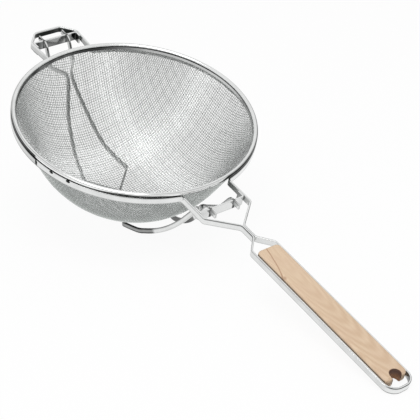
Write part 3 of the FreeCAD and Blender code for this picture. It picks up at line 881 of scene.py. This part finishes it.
def weld_dome(degrees, long, tall, drop):
    """A flat black dome on the band's outside, without its very top.

    It is spot + share * (long * cos a * along + tall * sin a * up) + height * sqrt(1 - share^2)
    * out, where the share runs from 1 at the foot to 0.
    """
    turn = np.linspace(0, 2 * math.pi, WELD_STEPS, endpoint=False)[:, None]
    share = np.cos(np.linspace(0, math.pi / 2, WELD_RINGS + 1))[:-1, None, None]
    rise = np.sqrt(1 - share**2)
    c, s = math.cos(math.radians(degrees)), math.sin(math.radians(degrees))
    out, along, up = np.array([c, s, 0.0]), np.array([-s, c, 0.0]), np.array([0.0, 0.0, 1.0])
    spot = (RIM_RADIUS - WELD_SINK) * out + (STRIP_TOP + drop) * up
    across = np.cos(turn) * long * along + np.sin(turn) * tall * up
    dome = (spot + share * across + rise * out * WELD_HEIGHT).reshape(-1, 3)
    normals = unit((share * across / MM + rise * out).reshape(-1, 3))
    top_cap = ((WELD_RINGS - 1) * WELD_STEPS + np.arange(WELD_STEPS))[None]
    base_cap = np.arange(WELD_STEPS)[None, ::-1]
    faces = [ring_faces(WELD_RINGS, WELD_STEPS), top_cap, base_cap]
    return dome, normals, np.ones(len(dome)), faces


def weld_spots():
    """Two weld spots at the band's upper edge and a seam over its joint, on each side."""
    mirrored = [(-degrees, *sizes) for degrees, *sizes in WELD_SHAPES]
    return join(*(weld_dome(*shape) for shape in (*WELD_SHAPES, *mirrored)))


# ---------------------------------------------------------------- wire cloth

NEWTON_STEPS = 5
CRIMP_SHARE = 0.9


def bowl_offset(points, depth):
    """Signed distance from the bowl surface at a depth, and its outward normal.

    Above the line where the wall starts the surface is a cone, and below it a sphere.
    """
    radius = np.hypot(points[..., 0], points[..., 1])
    level = points[..., 2] - BOWL_CENTRE
    on_wall = radius * RISE[0] + level * RISE[1] > 0
    length = np.hypot(radius, level)
    normal_out = np.where(on_wall, RISE[1], radius / length)
    normal_up = np.where(on_wall, -RISE[0], level / length)
    distance = radius * normal_out + level * normal_up - (BOWL_RADIUS - depth)
    outward = points[..., :2] / np.maximum(radius, 1e-9)[..., None]
    normal = np.concatenate([outward * normal_out[..., None], normal_up[..., None]], axis=-1)
    return distance, normal


def draped_net(depth, pitch, top):
    """Crossings of a square cloth of fixed pitch laid over the bowl, centred on its bottom.

    Two threads follow meridians at right angles. Each further crossing lies one pitch from its
    two neighbours, on the circle round their middle, turned by Newton steps until it meets the
    bowl. One quarter is worked out diagonal by diagonal and mirrored. Crossings above the top
    level are not a number.
    """
    radius = BOWL_RADIUS - depth
    bend = radius * (math.pi / 2 - LEAN)
    wall = (top - BOWL_CENTRE + radius * RISE[0]) / RISE[1]
    count = math.ceil((bend + wall) / pitch) + 3
    run = np.arange(count) * pitch
    angle = np.minimum(run, bend) / radius
    beyond = np.maximum(run - bend, 0)
    out = radius * np.sin(angle) + beyond * RISE[0]
    level = BOWL_CENTRE - radius * np.cos(angle) + beyond * RISE[1]
    net = np.full((count, count, 3), np.nan)
    net[:, 0] = np.stack([out, 0 * out, level], axis=-1)
    net[0, :] = np.stack([0 * out, out, level], axis=-1)
    for diagonal in range(2, 2 * count - 1):
        i = np.arange(max(1, diagonal - count + 1), min(diagonal, count))
        j = diagonal - i
        a, b, back = net[i - 1, j], net[i, j - 1], net[i - 1, j - 1]
        middle = (a + b) / 2
        reach = np.sqrt(pitch**2 - np.sum((b - a) ** 2, axis=-1, keepdims=True) / 4)
        forward = unit(middle - back)
        sideways = np.cross(unit(b - a), forward)
        turn = np.zeros((len(i), 1))
        for _ in range(NEWTON_STEPS):
            spot = middle + reach * (np.cos(turn) * forward + np.sin(turn) * sideways)
            slide = reach * (np.cos(turn) * sideways - np.sin(turn) * forward)
            distance, normal = bowl_offset(spot, depth)
            turn = turn - distance[:, None] / np.sum(normal * slide, axis=-1, keepdims=True)
        spot[spot[:, 2] > top + 2 * pitch] = np.nan
        net[i, j] = spot
    steps = np.arange(1 - count, count)
    signs = np.stack(np.broadcast_arrays(np.sign(steps)[:, None], np.sign(steps), 1), axis=-1)
    signs = np.where(signs == 0, 1, signs)
    whole = net[np.abs(steps)][:, np.abs(steps)] * signs
    whole[whole[..., 2] > top] = np.nan
    return whole


def wires(net, depth, wire_radius, sides, parity, outward_shade):
    """Wires along the net's first index: crossing + radius * (cos a * across + sin a * outward).

    At each crossing a wire stands out from the bowl by the crimp or in by it, turn and turn
    about. The outward shade holds the painted shade of its outward side where it stands out and
    where it stands in, and its inward side is bright.
    """
    steps = np.arange(net.shape[0])[:, None] + np.arange(net.shape[1])
    stands_out = steps % 2 == parity
    crimp = CRIMP_SHARE * wire_radius
    normal = bowl_offset(net, depth)[1]
    centre = net + np.where(stands_out, crimp, -crimp)[..., None] * normal
    ahead = np.full_like(net, np.nan)
    ahead[:-1] = centre[1:] - centre[:-1]
    behind = np.full_like(net, np.nan)
    behind[1:] = ahead[:-1]
    has_next = ~np.isnan(ahead[..., 0])
    has_last = ~np.isnan(behind[..., 0])
    both = np.where(np.isnan(behind), ahead, ahead + behind)
    along = unit(np.where(np.isnan(ahead), behind, both))
    across = unit(np.cross(normal, along))
    outward = np.cross(along, across)
    angle = (np.arange(sides) * 2 * math.pi / sides)[:, None]
    round_wire = np.cos(angle) * across[:, :, None] + np.sin(angle) * outward[:, :, None]
    ring = centre[:, :, None] + wire_radius * round_wire
    used = has_next | has_last
    number = np.full(used.shape, -1)
    number[used] = np.arange(used.sum())
    rows, columns = np.nonzero(has_next)
    start = number[rows, columns][:, None] * sides
    end = number[rows + 1, columns][:, None] * sides
    spot = np.arange(sides)
    following = (spot + 1) % sides
    quads = np.stack([start + spot, start + following, end + following, end + spot], axis=-1)
    first_caps = number[has_next & ~has_last][:, None] * sides + spot[::-1]
    last_caps = number[has_last & ~has_next][:, None] * sides + spot
    # Painted shade on each wire's outward side, set by whether it stands out or in.
    outward_tone = np.where(stands_out, *outward_shade)[..., None]
    tones = outward_tone * (0.5 + 0.5 * np.sin(angle[:, 0]))
    faces = [quads.reshape(-1, 4), first_caps, last_caps]
    return ring[used].reshape(-1, 3), None, tones[used].ravel(), faces


def woven_bowl(name, node, slot, material, *, depth, pitch, wire_radius, sides, outward_shade, shares):
    """A bowl of plain-woven round wires, each way of the weave in pieces side by side."""
    net = draped_net(depth, pitch, CLOTH_END)
    for way, grid, parity in (("warp", net, 0), ("weft", net.transpose(1, 0, 2), 1)):
        for share, part in enumerate(np.array_split(np.arange(grid.shape[1]), shares)):
            first_parity = (parity + part[0]) % 2
            solid = wires(grid[:, part], depth, wire_radius, sides, first_parity, outward_shade)
            add_piece(f"{name}_{way}_{share + 1}", solid, material, slot, node)


# ---------------------------------------------------------------- metals

# The dark colours are what the tones' painted shade and painted reflection blend towards.
PLATE_BRIGHT, PLATE_DARK = (0.95, 0.96, 0.955, 1), (0.012, 0.014, 0.013, 1)
COARSE_BRIGHT, COARSE_DARK = (0.74, 0.77, 0.755, 1), (0.06, 0.065, 0.06, 1)
FINE_BRIGHT, FINE_DARK = (0.92, 0.93, 0.925, 1), (0.03, 0.032, 0.03, 1)
BUMP_DISTANCE = 0.2 * MM
PLATE_BUMP = 0.02
CLOUD_TONE = 0.07
LEAST_ROUGHNESS, CLOUD_ROUGHNESS, GRAIN_ROUGHNESS = 0.06, 0.08, 0.1


def bumped(tree, height, strength):
    """The normal of a shallow bump of a height."""
    inputs = {"Strength": strength, "Distance": BUMP_DISTANCE, "Height": height}
    return add_node(tree, "Bump", inputs).outputs[0]


def plate_finish_and_painted_shade():
    """The colour, roughness and height of plating that goes from bright to dark with the tone's
    painted shade and painted reflection.

    Soft clouds dull it and a fine grain scratches it.
    """
    inputs = [("Bright", "Color", PLATE_BRIGHT), ("Dark", "Color", PLATE_DARK)]
    outputs = [("Color", "Color"), ("Roughness", "Float"), ("Height", "Float")]
    group, given, result = new_group("plate_finish_and_painted_shade", inputs, outputs)
    place_on_piece = group.nodes.new("ShaderNodeTexCoord").outputs["Object"]
    tone = add_node(group, "Attribute", {}, attribute_name="tone").outputs["Fac"]
    clouds = ramp(group, noise(group, place_on_piece, scale=60.0, detail=3.0), 0.3, 0.7)
    grain = noise(group, place_on_piece, scale=900.0, detail=2.0)
    shade = combine(group, "ADD", tone, combine(group, "MULTIPLY", clouds, CLOUD_TONE))
    shade = add_node(group, "Clamp", {"Value": shade}).outputs[0]
    colour = blend(group, shade, given.outputs["Bright"], given.outputs["Dark"])
    cloud_part = combine(group, "MULTIPLY", clouds, CLOUD_ROUGHNESS)
    grain_part = combine(group, "MULTIPLY", grain, GRAIN_ROUGHNESS)
    roughness = combine(group, "ADD", cloud_part, grain_part)
    roughness = combine(group, "ADD", roughness, LEAST_ROUGHNESS)
    for name, value in (("Color", colour), ("Roughness", roughness), ("Height", grain)):
        group.links.new(value, result.inputs[name])
    return group


def plated(name, finish_and_shade, bright, dark):
    """Metal with the plate finish and painted shade between its own bright and dark colours."""
    material, tree = new_material(name)
    look = add_node(tree, "Group", {"Bright": bright, "Dark": dark}, node_tree=finish_and_shade)
    metal = add_node(tree, "BsdfPrincipled", {
        "Metallic": 1.0,
        "Base Color": look.outputs["Color"],
        "Roughness": look.outputs["Roughness"],
        "Normal": bumped(tree, look.outputs["Height"], PLATE_BUMP),
    })
    add_node(tree, "OutputMaterial", {"Surface": metal.outputs[0]})
    return material


# ---------------------------------------------------------------- wood

PALE_WOOD = (0.745, 0.575, 0.41, 1)
RING_BROWN = (0.625, 0.45, 0.3, 1)
PATCH_BROWN = (0.66, 0.47, 0.335, 1)
VEIN_BROWN = (0.3, 0.13, 0.06, 1)
# Painted shade inside the bite at the grip's end, brown low down and near black at the top.
BITE_SHADE_BROWN = (0.3, 0.14, 0.06, 1)
BITE_SHADE_BLACK = (0.12, 0.055, 0.035, 1)
SEAM_SHADE = (0.09, 0.07, 0.055, 1)
WOOD_BUMP = 0.25
HEART_PLACE = (WOOD_END - 35 * MM, 3 * MM, -22 * MM)
HEART_TURN = (0.0, math.radians(6.5), math.radians(1.5))
FIBRE_STRETCH = (28.0, 900.0, 900.0)
VEIN_OFFSET, VEIN_SLOPE, VEIN_CURVE = 2.8 * MM, 0.17, 2.1
KNOT_PLACE = (WOOD_START + 42 * MM, -12.6 * MM, 0.5 * MM)
HOLE_PLACE = WOOD_END - 3 * MM


def mapped(tree, coordinates, location, rotation):
    """Coordinates in the frame of a place and a turn."""
    inputs = {"Location": location, "Rotation": rotation, "Vector": coordinates}
    return add_node(tree, "Mapping", inputs, vector_type="TEXTURE").outputs[0]


def arched_rings(tree, spot):
    """Growth rings round a heart line that runs under the grip, so that its top cuts arches."""
    inputs = {"Scale": 150.0, "Distortion": 3.2, "Detail": 2.5, "Detail Scale": 22.0}
    inputs["Vector"] = mapped(tree, spot, HEART_PLACE, HEART_TURN)
    rings = add_node(tree, "TexWave", inputs, wave_type="RINGS", rings_direction="X")
    return rings.outputs["Fac"]


def long_fibres(tree, spot):
    """Noise drawn out along the grip."""
    stretched = add_node(tree, "Mapping", {"Scale": FIBRE_STRETCH, "Vector": spot})
    return noise(tree, stretched.outputs[0], scale=1.0, detail=4.0)


def brown_vein(tree, spot, along, y):
    """A thin curved vein, y = -offset - along * (slope + curve * along), that ends in a knot."""
    bend = combine(tree, "ADD", combine(tree, "MULTIPLY", along, VEIN_CURVE), VEIN_SLOPE)
    vein_y = combine(tree, "MULTIPLY", along, bend)
    off_vein = combine(tree, "ADD", combine(tree, "ADD", y, VEIN_OFFSET), vein_y)
    off_vein = combine(tree, "ABSOLUTE", off_vein)
    vein = ramp(tree, off_vein, 0.25 * MM, 0.9 * MM, start=0.6, end=0.0)
    vein_end = ramp(tree, along, 44 * MM, 49 * MM, start=1.0, end=0.0)
    vein = combine(tree, "MULTIPLY", vein, vein_end)
    from_knot = add_node(tree, "VectorMath", {0: spot, 1: KNOT_PLACE}, operation="DISTANCE")
    knot = ramp(tree, from_knot.outputs["Value"], 1.0 * MM, 3.2 * MM, start=0.45, end=0.0)
    return combine(tree, "MAXIMUM", vein, knot)


def inside_bite(tree, x, y):
    """1 inside the bite in the grip's end and 0 a little way outside it."""
    hole_x = combine(tree, "SUBTRACT", x, HOLE_PLACE)
    hole_xx = combine(tree, "MULTIPLY", hole_x, hole_x)
    hole_yy = combine(tree, "MULTIPLY", y, y)
    from_hole = combine(tree, "SQRT", combine(tree, "ADD", hole_xx, hole_yy))
    return ramp(tree, from_hole, 5.9 * MM, 6.5 * MM, start=1.0, end=0.0)


def pale_wood():
    """Pale close-grained wood: arched rings, long fibres, a brown vein and painted shade in the
    bite.

    Its sides have a painted shade line where the strip holds them.
    """
    material, tree = new_material("pale_wood")
    on_object = tree.nodes.new("ShaderNodeTexCoord").outputs["Object"]
    spot = mapped(tree, on_object, tuple(RIM_CENTRE), (0.0, TILT, 0.0))
    parts = add_node(tree, "SeparateXYZ", {0: spot})
    x, y, z = parts.outputs["X"], parts.outputs["Y"], parts.outputs["Z"]
    along = combine(tree, "SUBTRACT", x, WOOD_START)

    fibres = long_fibres(tree, spot)
    vein = brown_vein(tree, spot, along, y)
    ring_share = ramp(tree, along, 20 * MM, 140 * MM, start=0.25, end=0.8)
    figure = combine(tree, "MULTIPLY", arched_rings(tree, spot), ring_share)
    grain = combine(tree, "ADD", figure, ramp(tree, fibres, 0.3, 0.7, start=0.0, end=0.45))
    colour = blend(tree, grain, PALE_WOOD, RING_BROWN)
    patches = ramp(tree, noise(tree, spot, scale=45.0, detail=2.0), 0.35, 0.7, end=0.35)
    colour = blend(tree, patches, colour, PATCH_BROWN)
    colour = blend(tree, vein, colour, VEIN_BROWN)
    # Painted shade in the bite, brown low down and near black at the top.
    bite_shade = blend(tree, ramp(tree, z, -9 * MM, -2 * MM), BITE_SHADE_BROWN, BITE_SHADE_BLACK)
    colour = blend(tree, inside_bite(tree, x, y), colour, bite_shade)
    # Painted shade along the top of the sides, where the strip holds them.
    at_side = ramp(tree, combine(tree, "ABSOLUTE", y), 12.3 * MM, 13.0 * MM)
    thin_line = ramp(tree, z, -2.6 * MM, -1.0 * MM, start=0.8, end=0.0)
    colour = blend(tree, combine(tree, "MULTIPLY", at_side, thin_line), colour, SEAM_SHADE)

    height = combine(tree, "SUBTRACT", fibres, combine(tree, "MULTIPLY", vein, 0.5))
    wood = add_node(tree, "BsdfPrincipled", {
        "Base Color": colour,
        "Roughness": ramp(tree, fibres, 0.2, 0.8, start=0.48, end=0.68),
        "Normal": bumped(tree, height, WOOD_BUMP),
    })
    add_node(tree, "OutputMaterial", {"Surface": wood.outputs[0]})
    return material


# ---------------------------------------------------------------- the strainer

bpy.context.scene.view_settings.view_transform = "Standard"
add_camera()
add_floor()
add_world()
add_lamp()

finish_and_shade = plate_finish_and_painted_shade()
plate = plated("bright_plate", finish_and_shade, PLATE_BRIGHT, PLATE_DARK)
handle_bar = crossbar(1, HANDLE_BAR, HANDLE_CORNER.imag * 1j, 1 + 0j, handle_bar_tones)
hook_bar = crossbar(-1, HOOK_BAR, HOOK_CORNER, HOOK_HEADING, hook_bar_tones)
for name, solid, *stands_for in (
    ("rim_bead_and_lip", rim_bead_and_lip(), "rim_ring"),
    ("handle_band_and_grip_strip", handle_strip(), "handle_strip"),
    ("hook_band_and_front_strip", hook_strip(), "hook_strip"),
    ("notched_handle_crossbar", handle_bar, "handle_crossbar"),
    ("notched_hook_crossbar", hook_bar, "hook_crossbar"),
    ("left_bowl_strap", support_strap(1), "support_strap_left"),
    ("right_bowl_strap", support_strap(-1), "support_strap_right"),
    ("band_weld_spots", weld_spots()),
):
    add_piece(name, solid, plate, "bright_strip", *stands_for)
# Each cloth's wires get painted shade on their outward side, the coarse ones only where they stand
# in.
woven_bowl(
    "coarse_cloth", "outer_mesh", "coarse_mesh",
    plated("coarse_wire", finish_and_shade, COARSE_BRIGHT, COARSE_DARK),
    depth=0.6 * MM, pitch=2.8 * MM, wire_radius=0.3 * MM, sides=6, outward_shade=(0.0, 0.9), shares=1,
)
woven_bowl(
    "fine_cloth", "inner_mesh", "fine_mesh",
    plated("fine_wire", finish_and_shade, FINE_BRIGHT, FINE_DARK),
    depth=1.7 * MM, pitch=1.25 * MM, wire_radius=0.09 * MM, sides=4, outward_shade=(1.0, 1.0), shares=3,
)
grip = frame["nodes"]["wood_handle"]
grip.data.materials.clear()
grip.data.materials.append(pale_wood())
